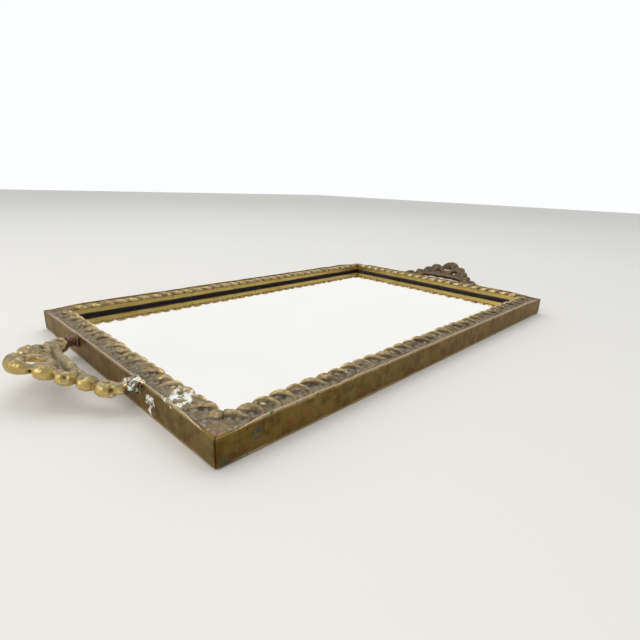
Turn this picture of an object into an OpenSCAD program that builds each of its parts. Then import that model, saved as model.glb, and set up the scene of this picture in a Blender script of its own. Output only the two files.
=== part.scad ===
// Dresser vanity tray: four mitred brass rails round a mirror floor, with a cast scroll
// moulding on top of each rail and a cast openwork handle on each short side.
// X runs along the tray, Y across it and +Z up. The origin is at the middle of the tray,
// on the surface that it stands on.

/* [Tray] */
// Length of the frame, without the handles
tray_l = 380; // [320:5:460]
// Width of the frame
tray_w = 244; // [210:2:300]
// Height of the outer wall of a rail, away from the corners
wall_h = 17.2; // [16.4:0.2:19]
// Thickness of the outer wall of a rail
wall_t = 2; // [1.6:0.2:2.2]
// How far the lip of a rail dips at the corners
corner_dip = 2; // [0:0.2:2.2]
// How far the foot of a rail lifts off the table at the corners
corner_lift = 1; // [0:0.1:1.2]

/* [Rails] */
// Height of the underside of the flange, which is the top of the slot over the mirror
flange_z = 10.6; // [10.4:0.1:11]
// Thickness of the flange
flange_t = 3.4; // [3:0.1:3.6]
// Distance from the outer face to the inner edge of the flange
flange_w = 12.6; // [12:0.2:14]
// Thickness of the gilt slip on the inner edge of the flange
slip_t = 1.8; // [1.2:0.2:2.4]

/* [Scroll moulding] */
// Distance from one leaf of the moulding to the next
leaf_pitch = 10.4; // [8:0.2:14]
// Half the thickness of a leaf
leaf_r = 3.2; // [2.4:0.1:3.4]
// How far each leaf leans over along the rail, in degrees; the leaves of the long rails
// lean one way and those of the short rails the other
leaf_lean = 28; // [0:1:40]

/* [Mirror and back] */
// Thickness of the mirror glass
glass_t = 3; // [2:0.5:3]
// Gap between the mirror and the flange, which the bedding strips fill
bedding_t = 1.8; // [1:0.2:2]
// Thickness of the packing sheet behind the glass
packing_t = 0.5; // [0.3:0.1:0.6]
// Thickness of the backing board
board_t = 3; // [2:0.1:3.2]
// Thickness of the retaining tabs and corner plates
tab_t = 0.6; // [0.5:0.1:0.6]
// Thickness of the backing paper
paper_t = 0.4; // [0.2:0.1:0.5]

/* [Handles] */
// Reach of a handle, measured along its own slope
handle_reach = 50; // [44:1:60]
// Half the distance between the two studs of a handle
stud_x = 45; // [40:1:50]
// Thickness of the cast crest
crest_t = 7; // [6:0.5:8]
// Slope of the left handle above level, in degrees
left_slope = 18; // [4:1:24]
// Slope of the right handle above level, in degrees
right_slope = 24; // [4:1:26]
// Radius of a stud
stud_r = 3.7; // [3:0.1:4]
// Length of a stud between the rail and the handle
stud_l = 6; // [5:0.5:8]

/* [Hidden] */
$fn = 48;

// rail section: distances are measured inwards from the outer face
lip_w = 1.2;
channel_w = 4.6;
flange_top = flange_z + flange_t;
slip_top = flange_top + 1.2;
corner_reach = 34;
slip_w = flange_w + slip_t;
moulding_top = flange_top + 4.4;
moulding_w = slip_w + 1;
leaf_z = moulding_top - leaf_r;
leaf_tail = 5.4;

// stack behind the flange, from the glass down
glass_top = flange_z - bedding_t;
glass_z = glass_top - glass_t;
packing_z = glass_z - packing_t;
board_z = packing_z - board_t;
tab_z = board_z - tab_t;
paper_z = tab_z - paper_t;
edge_gap = 0.6;
stack_inset = wall_t + edge_gap;
bedding_inset = 3;
bedding_w = 8.6;

// back fittings
tab_w = 8;
tab_reach = 9;
tab_upright = 0.5;
plate_leg = 26;

// studs and handles
stud_z = 12.2;
crest_drop = 1.9;
tenon_r = 1.2;
tenon_l = 5;
tenon_slack = 0.05;
solder_r = 5.6;
solder_h = 1.6;
bar_t = 5.6;
bar_w = 6;
bar_mid = 17;
web_t = 3.4;
eye_r = 3.1;

// the lobes of the crest, from beside the peak down to the stud: place along the rail,
// share of the handle's reach to the lobe's middle, radius
LOBES = [[6.4, 0.88, 6], [16.4, 0.73, 5.6], [24.6, 0.57, 5.6], [32, 0.42, 5.4],
         [39, 0.28, 5.4], [45, 0.16, 5.6]];

SIDE_ANGLE = [0, 180, 270, 90];
FRONT = 0;
BACK = 1;
LEFT = 2;
RIGHT = 3;

function side_len(side) = side < LEFT ? tray_l : tray_w;
function side_off(side) = (side < LEFT ? tray_w : tray_l) / 2;

// quarter of an ellipse that hollows out the channel inside the lip
function channel_curve() = [for (t = [90:-15:0])
    [channel_w - (channel_w - lip_w) * cos(t), wall_h - (wall_h - flange_top) * sin(t)]];

// rounded back of the moulding, from its outer foot over the top to its nose
function moulding_curve() = [for (t = [0:15:180])
    let (mid = (channel_w + moulding_w) / 2, half = (moulding_w - channel_w) / 2)
    [mid - half * cos(t), slip_top + 0.4 + (moulding_top - slip_top - 1.6) * sin(t)]];

// inner edge of the bar of a handle, which bows back towards its two ends
function bar_edge(x) = bar_mid - 11 * pow(abs(x) / stud_x, 3);

// puts a side piece, drawn along X with its outer face on the X axis, on its side of the tray
module on_side(side) {
    rotate([0, 0, SIDE_ANGLE[side]]) translate([0, -side_off(side), 0]) children();
}

// the slivers that pinch in the ends of a rail, along its lip and along its foot
module corner_pinch(side) {
    half = side_len(side) / 2;
    on_side(side) for (end = [0, 1]) mirror([end, 0, 0])
        translate([half, 2 * moulding_w, 0]) rotate([90, 0, 0])
            linear_extrude(height = 3 * moulding_w) {
                polygon([[-corner_reach, wall_h], [1, wall_h - corner_dip], [1, wall_h + 1]]);
                polygon([[-corner_reach, 0], [1, corner_lift], [1, -1]]);
            }
}

// runs a section of [distance inwards, height] along a side and mitres both of its ends
module mitred(side, section) {
    half = side_len(side) / 2;
    reach = moulding_w + 5;
    on_side(side) intersection() {
        rotate([90, 0, 90]) linear_extrude(height = 2 * half, center = true) polygon(section);
        linear_extrude(height = 2 * wall_h)
            polygon([[-half, 0], [half, 0], [half - reach, reach], [reach - half, reach]]);
    }
}

module rail(side) {
    section = concat([[0, 0], [wall_t, 0], [wall_t, flange_z], [flange_w, flange_z],
                      [flange_w, flange_top]], channel_curve(), [[0, wall_h]]);
    color("#7b6a35") difference() {
        mitred(side, section);
        corner_pinch(side);
        if (side >= LEFT)
            on_side(side) for (x = [-stud_x, stud_x])
                translate([x, -1, stud_z]) rotate([-90, 0, 0])
                    cylinder(h = tenon_l + 1 + tenon_slack, r = tenon_r + tenon_slack);
    }
}

// the strip that carries the leaves, stepped underneath where it laps over the slip
module moulding_strip(side) {
    mitred(side, concat([[moulding_w, slip_top], [flange_w, slip_top], [flange_w, flange_top],
                         [channel_w, flange_top]], moulding_curve()));
}

module leaf(lean) {
    rotate([0, 0, lean]) {
        rotate([-90, 0, 0]) cylinder(h = moulding_w - leaf_tail - leaf_r, r = leaf_r);
        translate([0, moulding_w - leaf_tail - leaf_r, 0]) sphere(r = leaf_r);
    }
}

module scroll(side) {
    count = floor((side_len(side) - 2 * moulding_w) / leaf_pitch);
    way = side < LEFT ? 1 : -1;
    color("#8c7a4c") difference() {
        union() {
            moulding_strip(side);
            on_side(side) for (i = [0:count - 1])
                translate([(i - (count - 1) / 2) * leaf_pitch + 2 * way, leaf_tail + 0.6, leaf_z])
                    leaf(way * leaf_lean);
        }
        on_side(side) {
            translate([-tray_l, 0, 0]) cube([2 * tray_l, flange_w, flange_top]);
            translate([-tray_l, flange_w, 0]) cube([2 * tray_l, 2 * moulding_w, slip_top]);
        }
    }
}

module slip(side) {
    color("#d2ab3c")
        mitred(side, [[flange_w, flange_z], [slip_w, flange_z], [slip_w, slip_top],
                      [flange_w, slip_top]]);
}

// a flat sheet inside the walls
module sheet(z, thickness) {
    translate([0, 0, z + thickness / 2])
        cube([tray_l - 2 * stack_inset, tray_w - 2 * stack_inset, thickness], center = true);
}

module mirror_glass() {
    color("#e8ecec") sheet(glass_z, glass_t);
}

module glass_bedding() {
    color("#22242a") for (side = [FRONT:RIGHT])
        mitred(side, [[bedding_inset, glass_top], [bedding_inset + bedding_w, glass_top],
                      [bedding_inset + bedding_w, flange_z], [bedding_inset, flange_z]]);
}

module packing_sheet() {
    color("#b59f78") sheet(packing_z, packing_t);
}

module backing_board() {
    color("#8a6a44") sheet(board_z, board_t);
}

module backing_paper() {
    color("#6b5138") sheet(paper_z, paper_t);
}

// triangular plate soldered across a mitre; the plate is drawn for the front left corner
module corner_plate(flip_x, flip_y) {
    color("#a58a45") mirror([flip_x, 0, 0]) mirror([0, flip_y, 0])
        translate([wall_t - tray_l / 2, wall_t - tray_w / 2, tab_z])
            linear_extrude(height = tab_t) polygon([[0, 0], [plate_leg, 0], [0, plate_leg]]);
}

// brass strip bent to an L: one leg up the wall, the other under the board
module retaining_tab() {
    translate([-tab_w / 2, wall_t, tab_z]) {
        cube([tab_w, tab_reach, tab_t]);
        cube([tab_w, tab_upright, tab_t + board_t]);
    }
}

module retaining_tabs() {
    color("#a58a45") for (side = [FRONT:RIGHT])
        on_side(side) for (i = side < LEFT ? [-1:1] : [-1:2:1])
            translate([i * side_len(side) * (side < LEFT ? 0.3 : 0.18), 0, 0]) retaining_tab();
}

// the outline of the flat web that joins the lobes to the bar
function web_outline() = concat(
    [for (i = [len(LOBES) - 1:-1:0]) [-LOBES[i][0], -LOBES[i][1] * handle_reach]],
    [for (l = LOBES) [l[0], -l[1] * handle_reach]],
    [for (x = [stud_x:-5:-stud_x]) [x, -bar_edge(x) - bar_w / 2]]);

// the bar that the fingers close on
module grip_bar() {
    edge = [for (x = [-stud_x:5:stud_x]) [x, -bar_edge(x)]];
    linear_extrude(height = bar_t, center = true)
        polygon(concat(edge, [for (i = [len(edge) - 1:-1:0]) edge[i] - [0, bar_w]]));
}

// the openwork crest in its own plane, before it is sloped
module crest() {
    difference() {
        union() {
            for (l = LOBES) for (way = [-1, 1])
                translate([way * l[0], -l[1] * handle_reach, 0])
                    cylinder(h = crest_t, r = l[2], center = true);
            translate([0, 0, -0.6]) linear_extrude(height = web_t, center = true)
                polygon(web_outline());
            grip_bar();
        }
        linear_extrude(height = 2 * crest_t, center = true) {
            for (x = [-2, 2]) translate([x, -handle_reach * 0.7]) circle(r = eye_r);
            translate([0, -handle_reach * 0.7]) square([4, 2 * eye_r], center = true);
        }
    }
}

// the crest sloped about the outer ends of its studs and cut flat where it butts on them
module handle(side, slope) {
    color("#8f7f55") on_side(side) difference() {
        translate([0, -stud_l, stud_z - crest_drop]) rotate([-slope, 0, 0])
            translate([0, stud_l, 0]) crest();
        translate([-tray_w / 2, -stud_l, -crest_t]) cube([tray_w, 4 * stud_l, 6 * crest_t]);
    }
}

module studs(side) {
    color("#7a4a3a") on_side(side) for (x = [-stud_x, stud_x])
        translate([x, 0, stud_z]) rotate([90, 0, 0]) {
            cylinder(h = stud_l, r = stud_r);
            translate([0, 0, -tenon_l]) cylinder(h = tenon_l + stud_l / 2, r = tenon_r);
        }
}

// coned collars of solder round the studs, level with the top of the wall
module solder(side) {
    color("#b9bcae") on_side(side) intersection() {
        for (x = [-stud_x, stud_x])
            translate([x, 0, stud_z]) rotate([90, 0, 0]) difference() {
                cylinder(h = solder_h, r1 = solder_r, r2 = stud_r + 0.4);
                translate([0, 0, -1]) cylinder(h = solder_h + 2, r = stud_r + tenon_slack);
            }
        translate([-tray_w / 2, -2 * solder_h, 0]) cube([tray_w, 3 * solder_h, wall_h]);
    }
}

rail(FRONT);  // front_rail
rail(BACK);  // back_rail
rail(LEFT);  // left_rail
rail(RIGHT);  // right_rail
scroll(FRONT);  // front_scroll
scroll(BACK);  // back_scroll
scroll(LEFT);  // left_scroll
scroll(RIGHT);  // right_scroll
slip(FRONT);  // front_slip
slip(BACK);  // back_slip
slip(LEFT);  // left_slip
slip(RIGHT);  // right_slip
mirror_glass();
glass_bedding();
packing_sheet();
backing_board();
backing_paper();
corner_plate(0, 0);  // front_left_corner_plate
corner_plate(1, 0);  // front_right_corner_plate
corner_plate(0, 1);  // back_left_corner_plate
corner_plate(1, 1);  // back_right_corner_plate
retaining_tabs();
handle(LEFT, left_slope);  // left_handle
handle(RIGHT, right_slope);  // right_handle
studs(LEFT);  // left_studs
studs(RIGHT);  // right_studs
solder(LEFT);  // left_solder
solder(RIGHT);  // right_solder
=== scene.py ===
"""Dresser vanity tray: four mitred brass rails with a cast scroll moulding round a mirror floor,
and a cast openwork handle on each short side. Everything is in metres, in the frame's own axes:
X along the tray, Y across it, Z up from the surface that it stands on."""

import math
import random
from collections import namedtuple

import bmesh
import bpy
import numpy as np
from mathutils import Matrix, Vector, noise


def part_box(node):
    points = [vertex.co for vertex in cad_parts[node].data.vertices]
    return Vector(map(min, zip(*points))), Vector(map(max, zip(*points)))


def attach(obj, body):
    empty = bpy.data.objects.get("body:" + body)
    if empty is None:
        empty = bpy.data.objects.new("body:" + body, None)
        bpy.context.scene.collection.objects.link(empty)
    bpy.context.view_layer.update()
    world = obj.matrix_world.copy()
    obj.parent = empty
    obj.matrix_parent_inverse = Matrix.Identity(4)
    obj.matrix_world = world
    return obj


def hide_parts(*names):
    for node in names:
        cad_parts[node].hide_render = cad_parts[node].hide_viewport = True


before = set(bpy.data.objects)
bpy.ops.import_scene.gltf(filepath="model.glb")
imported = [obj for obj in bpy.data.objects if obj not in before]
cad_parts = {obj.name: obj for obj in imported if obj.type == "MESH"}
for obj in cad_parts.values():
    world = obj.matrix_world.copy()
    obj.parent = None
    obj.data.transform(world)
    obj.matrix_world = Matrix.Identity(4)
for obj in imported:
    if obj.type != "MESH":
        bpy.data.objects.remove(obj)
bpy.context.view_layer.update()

MM = 0.001
UP = Vector((0, 0, 1))

# the frame's own sizes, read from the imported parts
rail_low, rail_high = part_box("front_rail")
slip_low, slip_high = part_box("front_slip")
scroll_low, scroll_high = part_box("front_scroll")
glass_low, glass_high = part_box("mirror_glass")
stud_low, stud_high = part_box("left_studs")
handle_low, handle_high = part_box("left_handle")

HALF_LENGTH = rail_high.x
HALF_WIDTH = -rail_low.y
WALL_TOP = rail_high.z
SLOT_TOP = slip_low.z
SLIP_TOP = slip_high.z
SLIP_OUT = slip_low.y + HALF_WIDTH
SLIP_IN = slip_high.y + HALF_WIDTH
MOULDING_FOOT = scroll_low.z
MOULDING_TOP = scroll_high.z
MOULDING_IN = scroll_high.y + HALF_WIDTH
STUD_PLACE = stud_high.y - (stud_high.z - stud_low.z) / 2
STUD_HEIGHT = (stud_high.z + stud_low.z) / 2
STUD_RADIUS = (stud_high.z - stud_low.z) / 2
STUD_LENGTH = -HALF_LENGTH - stud_low.x

WALL_THICK = 2.0 * MM
LIP_WIDTH = 1.2 * MM
CORNER_REACH = 36 * MM
CORNER_DIP = 2.2 * MM
CORNER_LIFT = 1.0 * MM
FOOT_ZONE = 7 * MM
LIP_SAG = 0.34 * MM
LEAF_PITCH = 10.4 * MM
CHANNEL_TOP = MOULDING_FOOT + 0.4 * MM

# turn: how the side piece is turned from the front; lean: which way its leaves lean along it
Side = namedtuple("Side", "name turn half offset lean")
SIDES = [
    Side("front", 0, HALF_LENGTH, HALF_WIDTH, 1),
    Side("back", 180, HALF_LENGTH, HALF_WIDTH, 1),
    Side("left", 270, HALF_WIDTH, HALF_LENGTH, -1),
    Side("right", 90, HALF_WIDTH, HALF_LENGTH, -1),
]
LEFT, RIGHT = SIDES[2], SIDES[3]


def onto(side):
    """Carries a piece drawn along X, with its outer face on the X axis, to its side of the tray."""
    return Matrix.Rotation(math.radians(side.turn), 4, "Z") @ Matrix.Translation(
        (0, -side.offset, 0)
    )


def eased(value, low, high):
    """0 below low, 1 above high and a smooth climb in between."""
    share = min(max((value - low) / (high - low), 0.0), 1.0)
    return share * share * (3 - 2 * share)


# ---------------------------------------------------------------- mesh helpers


def swept_bar(section, half, step, gap):
    """A closed bar of the [inward, up] section, swept along X in short steps."""
    bm = bmesh.new()
    ring = [bm.verts.new((-half, inward, up)) for inward, up in section]
    edges = [bm.edges.new((ring[i - 1], ring[i])) for i in range(len(ring))]
    for edge in edges:
        cuts = int(edge.calc_length() / gap)
        if cuts:
            bmesh.ops.subdivide_edges(bm, edges=[edge], cuts=cuts)
    count = math.ceil(2 * half / step)
    bmesh.ops.spin(
        bm,
        geom=bm.verts[:] + bm.edges[:],
        cent=(0, 0, 0),
        axis=(0, 0, 1),
        dvec=(2 * half / count, 0, 0),
        angle=0.0,
        steps=count,
    )
    bmesh.ops.remove_doubles(bm, verts=bm.verts, dist=1e-6)
    bmesh.ops.holes_fill(bm, edges=[e for e in bm.edges if e.is_boundary], sides=0)
    bmesh.ops.recalc_face_normals(bm, faces=bm.faces)
    return bm


def round_long_edges(bm, corners, width):
    """Rounds the edges that run along the bar at the given corners of its section."""
    found = []
    for edge in bm.edges:
        first, second = (v.co for v in edge.verts)
        if abs(first.x - second.x) < 1e-7:
            continue
        for inward, up in corners:
            if abs(first.y - inward) + abs(first.z - up) < 1e-6:
                found.append(edge)
    bmesh.ops.bevel(
        bm,
        geom=found,
        offset=width,
        affect="EDGES",
        segments=3,
        profile=0.5,
        material=-1,
        clamp_overlap=True,
    )


def mitre(bm, half):
    """Shortens the bar with the distance inwards, so that both of its ends are mitred."""
    for v in bm.verts:
        v.co.x *= (half - v.co.y) / half


def trail(points):
    """A smooth path through the points, as a function of the share of the way along it."""
    knots = [Vector(p) for p in points]
    knots = [2 * knots[0] - knots[1]] + knots + [2 * knots[-1] - knots[-2]]

    def place(share):
        spot = min(max(share, 0.0), 1.0) * (len(knots) - 3)
        i = min(int(spot), len(knots) - 4)
        t = spot - i
        a, b, c, d = knots[i : i + 4]
        return 0.5 * (
            2 * b + (c - a) * t + (2 * a - 5 * b + 4 * c - d) * t * t + (3 * b - 3 * c + d - a) * t**3
        )

    return place


def steps_of(values):
    """The value at a share of the way along a list of evenly spaced values."""

    def value(share):
        spot = min(max(share, 0.0), 1.0) * (len(values) - 1)
        i = min(int(spot), len(values) - 2)
        return values[i] + (values[i + 1] - values[i]) * (spot - i)

    return value


def add_horn(bm, path, girth, flat=1.0, rings=20, sides=14):
    """Draws a ball out along a path; girth is its half width on the way and flat its squash."""
    ball = bmesh.ops.create_uvsphere(bm, u_segments=sides, v_segments=rings, radius=1.0)
    for v in ball["verts"]:
        share = math.acos(min(max(v.co.z, -1.0), 1.0)) / math.pi
        forward = (path(share + 0.02) - path(share - 0.02)).normalized()
        across = forward.cross(UP).normalized()
        over = across.cross(forward)
        round_end = math.sin(share * math.pi) ** 0.55 if 0 < share < 1 else 0.0
        turn = math.atan2(v.co.y, v.co.x)
        wide = girth(share) * round_end
        v.co = path(share) + across * (wide * math.cos(turn)) + over * (wide * flat * math.sin(turn))
    return ball["verts"]


def add_ball(bm, place, radius, flat=1.0):
    """A small ball, squashed in height by flat."""
    shape = Matrix.Translation(place) @ Matrix.Diagonal((1, 1, flat, 1))
    return bmesh.ops.create_icosphere(bm, subdivisions=2, radius=radius, matrix=shape)["verts"]


def fused(bm, voxel):
    """Melts overlapping solids into one skin and returns it as a new bmesh."""
    mesh = bpy.data.meshes.new("melt")
    bm.to_mesh(mesh)
    bm.free()
    lump = bpy.data.objects.new("melt", mesh)
    bpy.context.scene.collection.objects.link(lump)
    melt = lump.modifiers.new("melt", "REMESH")
    melt.mode = "VOXEL"
    melt.voxel_size = voxel
    graph = bpy.context.evaluated_depsgraph_get()
    skin = bpy.data.meshes.new_from_object(lump.evaluated_get(graph))
    bpy.data.objects.remove(lump)
    bpy.data.meshes.remove(mesh)
    result = bmesh.new()
    result.from_mesh(skin)
    bpy.data.meshes.remove(skin)
    return result


def trim(bm, place, outward):
    """Cuts away what lies beyond a plane and closes the cut."""
    cut = bmesh.ops.bisect_plane(
        bm,
        geom=bm.verts[:] + bm.edges[:] + bm.faces[:],
        dist=1e-6,
        plane_co=place,
        plane_no=outward,
        clear_outer=True,
    )
    rim = [e for e in cut["geom_cut"] if isinstance(e, bmesh.types.BMEdge) and e.is_boundary]
    bmesh.ops.holes_fill(bm, edges=rim, sides=0)


def roughen(bm, depth, size, seed, keep=None):
    """Moves the skin in and out a little, as a sand casting or a hammered strip is uneven."""
    bm.normal_update()
    shift = Vector((seed, 2.3 * seed, 0))
    for v in bm.verts:
        amount = noise.noise(v.co / size + shift) + 0.5 * noise.noise(v.co / size * 2.3 + shift)
        share = keep(v.co) if keep else 1.0
        v.co += v.normal * (depth * share * amount)


def mark_crests(mesh, passes, height, fade=None):
    """Stores on each point how far it stands out of (to 1) or lies below (to -1) its surroundings."""
    count = len(mesh.vertices)
    places = np.empty(count * 3)
    mesh.vertices.foreach_get("co", places)
    places = places.reshape(-1, 3)
    normals = np.empty(count * 3)
    mesh.vertices.foreach_get("normal", normals)
    normals = normals.reshape(-1, 3)
    pairs = np.empty(len(mesh.edges) * 2, dtype=np.int64)
    mesh.edges.foreach_get("vertices", pairs)
    pairs = pairs.reshape(-1, 2)
    start = np.concatenate([pairs[:, 0], pairs[:, 1]])
    end = np.concatenate([pairs[:, 1], pairs[:, 0]])
    degree = np.maximum(np.bincount(start, minlength=count), 1)

    def averaged(values):
        return np.bincount(start, weights=values[end], minlength=count) / degree

    smooth = places.copy()
    for _ in range(passes):
        smooth = np.stack([averaged(smooth[:, k]) for k in range(3)], axis=1)
    stand = np.clip(((places - smooth) * normals).sum(axis=1) / height, -1, 1)
    for _ in range(2):
        stand = averaged(stand)
    if fade:
        stand = stand * np.array([fade(v.co) for v in mesh.vertices])
    crest = mesh.attributes.new("crest", "FLOAT", "POINT")
    crest.data.foreach_set("value", stand.astype(np.float32))


def finished(bm, name, material, replaces, crests=None, smooth=True):
    """Makes the piece, gives it its finish and lets it ride with the tray."""
    bmesh.ops.triangulate(bm, faces=[f for f in bm.faces if len(f.verts) > 4])
    mesh = bpy.data.meshes.new(name)
    bm.to_mesh(mesh)
    bm.free()
    if smooth:
        mesh.shade_smooth()
    if crests:
        mark_crests(mesh, *crests)
    piece = bpy.data.objects.new(name, mesh)
    bpy.context.scene.collection.objects.link(piece)
    mesh.materials.append(material)
    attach(piece, "root")
    if replaces:
        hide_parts(*replaces)
    return piece


# ---------------------------------------------------------------- shader helpers


class Wire:
    """A shader socket that turns Python arithmetic into Math nodes."""

    def __init__(self, look, socket):
        self.look = look
        self.socket = socket

    def maths(self, operation, *values):
        return self.look.node("ShaderNodeMath", {"operation": operation}, *values)

    def __add__(self, other):
        return self.maths("ADD", self, other)

    def __radd__(self, other):
        return self.maths("ADD", other, self)

    def __sub__(self, other):
        return self.maths("SUBTRACT", self, other)

    def __rsub__(self, other):
        return self.maths("SUBTRACT", other, self)

    def __mul__(self, other):
        return self.maths("MULTIPLY", self, other)

    def __rmul__(self, other):
        return self.maths("MULTIPLY", other, self)

    def __truediv__(self, other):
        return self.maths("DIVIDE", self, other)

    def between(self, low, high):
        """0 where the value is low, 1 where it is high, smooth in between and held outside."""
        settings = {"interpolation_type": "SMOOTHSTEP"}
        span = {"From Min": low, "From Max": high, "To Min": 0.0, "To Max": 1.0}
        return self.look.node("ShaderNodeMapRange", settings, self, **span)


class Look:
    """A material and the nodes that make it."""

    def __init__(self, name):
        self.material = bpy.data.materials.new(name)
        self.material.use_nodes = True
        self.tree = self.material.node_tree
        self.shader = self.tree.nodes["Principled BSDF"]
        self.coords = self.node("ShaderNodeTexCoord", {}, out="Object")

    def node(self, kind, settings, *values, out=None, **named):
        made = self.tree.nodes.new(kind)
        for key, value in settings.items():
            setattr(made, key, value)
        for key, value in list(enumerate(values)) + list(named.items()):
            self.plug(made.inputs[key], value)
        return Wire(self, made.outputs[out] if out else made.outputs[0])

    def plug(self, socket, value):
        if isinstance(value, Wire):
            self.tree.links.new(value.socket, socket)
        elif isinstance(value, tuple) and len(value) == 3 and socket.type == "RGBA":
            socket.default_value = (*value, 1.0)
        else:
            socket.default_value = value

    def stretched(self, size, turn=0.0):
        """Object coordinates counted in grains of the given (x, y, z) size."""
        scale = tuple(1.0 / s for s in size)
        return self.node(
            "ShaderNodeMapping",
            {"vector_type": "POINT"},
            Vector=self.coords,
            Scale=scale,
            Rotation=(0.0, 0.0, turn),
        )

    def grain(self, size, detail=4.0, rough=0.55, lift=0.0):
        """Noise from 0 to 1 whose grains are size across, in metres."""
        if not isinstance(size, tuple):
            size = (size, size, size)
        vector = self.stretched(size)
        if lift:
            vector = self.node("ShaderNodeVectorMath", {"operation": "ADD"}, vector, (lift, lift, lift))
        spec = {"Scale": 1.0, "Detail": detail, "Roughness": rough}
        return self.node("ShaderNodeTexNoise", {"noise_dimensions": "3D"}, Vector=vector, **spec)

    def pits(self, size, lift=0.0):
        """Distance from the middles of scattered cells that are size across."""
        vector = self.stretched((size, size, size))
        if lift:
            vector = self.node("ShaderNodeVectorMath", {"operation": "ADD"}, vector, (lift, lift, lift))
        return self.node("ShaderNodeTexVoronoi", {"feature": "F1"}, Vector=vector, Scale=1.0)

    def crest(self):
        """How far the skin stands out of or lies below its surroundings, from -1 to 1."""
        return self.node("ShaderNodeAttribute", {"attribute_name": "crest"}, out="Fac")

    def part_of(self, axis):
        """One of the object coordinates, in metres."""
        return self.node("ShaderNodeSeparateXYZ", {}, self.coords, out=axis)

    def near(self, place, reach):
        """1 at a place on the object, falling to 0 at the given distance from it."""
        away = self.node(
            "ShaderNodeVectorMath", {"operation": "DISTANCE"}, self.coords, place, out="Value"
        )
        return 1 - away.between(reach * 0.35, reach)

    def off_mitre(self):
        """How far a point is from the nearest mitre, in metres."""
        across = self.node("ShaderNodeMath", {"operation": "ABSOLUTE"}, self.part_of("X"))
        along = self.node("ShaderNodeMath", {"operation": "ABSOLUTE"}, self.part_of("Y"))
        gap = across - along - (HALF_LENGTH - HALF_WIDTH)
        return self.node("ShaderNodeMath", {"operation": "ABSOLUTE"}, gap) / math.sqrt(2)

    def inward(self):
        """How far a point is in from the nearest outer face of the tray, in metres."""
        gaps = [
            half - self.node("ShaderNodeMath", {"operation": "ABSOLUTE"}, self.part_of(axis))
            for axis, half in (("X", HALF_LENGTH), ("Y", HALF_WIDTH))
        ]
        return self.node("ShaderNodeMath", {"operation": "MINIMUM"}, *gaps)

    def mix(self, share, first, second):
        made = self.tree.nodes.new("ShaderNodeMix")
        made.data_type = "RGBA"
        self.plug(made.inputs["Factor"], share)
        self.plug(made.inputs[6], first)
        self.plug(made.inputs[7], second)
        return Wire(self, made.outputs[2])

    def bump(self, height, depth, under=None):
        """A surface raised where height is 1 and low where it is 0, depth metres in all."""
        named = {"Height": height, "Distance": depth}
        if under is not None:
            named["Normal"] = under
        return self.node("ShaderNodeBump", {}, **named)

    def finish(self, **sockets):
        for name, value in sockets.items():
            self.plug(self.shader.inputs[name.replace("_", " ")], value)
        return self.material


def metal(red, green, blue):
    """A colour given as it is seen on a screen, from 0 to 255."""
    return tuple(
        c / 255 / 12.92 if c / 255 < 0.04045 else ((c / 255 + 0.055) / 1.055) ** 2.4
        for c in (red, green, blue)
    )


# ---------------------------------------------------------------- finishes

# near black: soot spots on the rails, and painted shade at the foot of the gilt slips and in the solder
# crevices
SOOT_AND_SHADE_BLACK = metal(38, 33, 28)
PALE_GREEN = metal(196, 224, 208)
WHITE_BLOOM = metal(232, 234, 228)


def spatter_mask(look):
    """White and pale green bloom left where the near joint of the left handle was soldered again."""
    height = look.part_of("Z")
    wall = look.near((-HALF_LENGTH, -63 * MM, 7.5 * MM), 12 * MM)
    wall = wall * (1 - height.between(12 * MM, 14 * MM))
    leaves = look.near((-HALF_LENGTH + 7 * MM, -81 * MM, 16 * MM), 16 * MM)
    leaves = leaves * height.between(13.6 * MM, 14.4 * MM)
    joint = look.near((-HALF_LENGTH - 2 * MM, -50 * MM, 15 * MM), 11 * MM)
    lobe = look.near((-HALF_LENGTH - 13 * MM, -44 * MM, 9 * MM), 8 * MM)
    zone = wall
    for other in (leaves, joint, lobe):
        zone = look.node("ShaderNodeMath", {"operation": "MAXIMUM"}, zone, other)
    patches = look.grain(4.2 * MM, detail=5.0, rough=0.62, lift=7.1)
    specks = look.grain(1.5 * MM, detail=3.0, rough=0.6, lift=2.7)
    return (patches * 0.7 + specks * 0.3 + zone * 0.36).between(0.84, 0.90)


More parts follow.
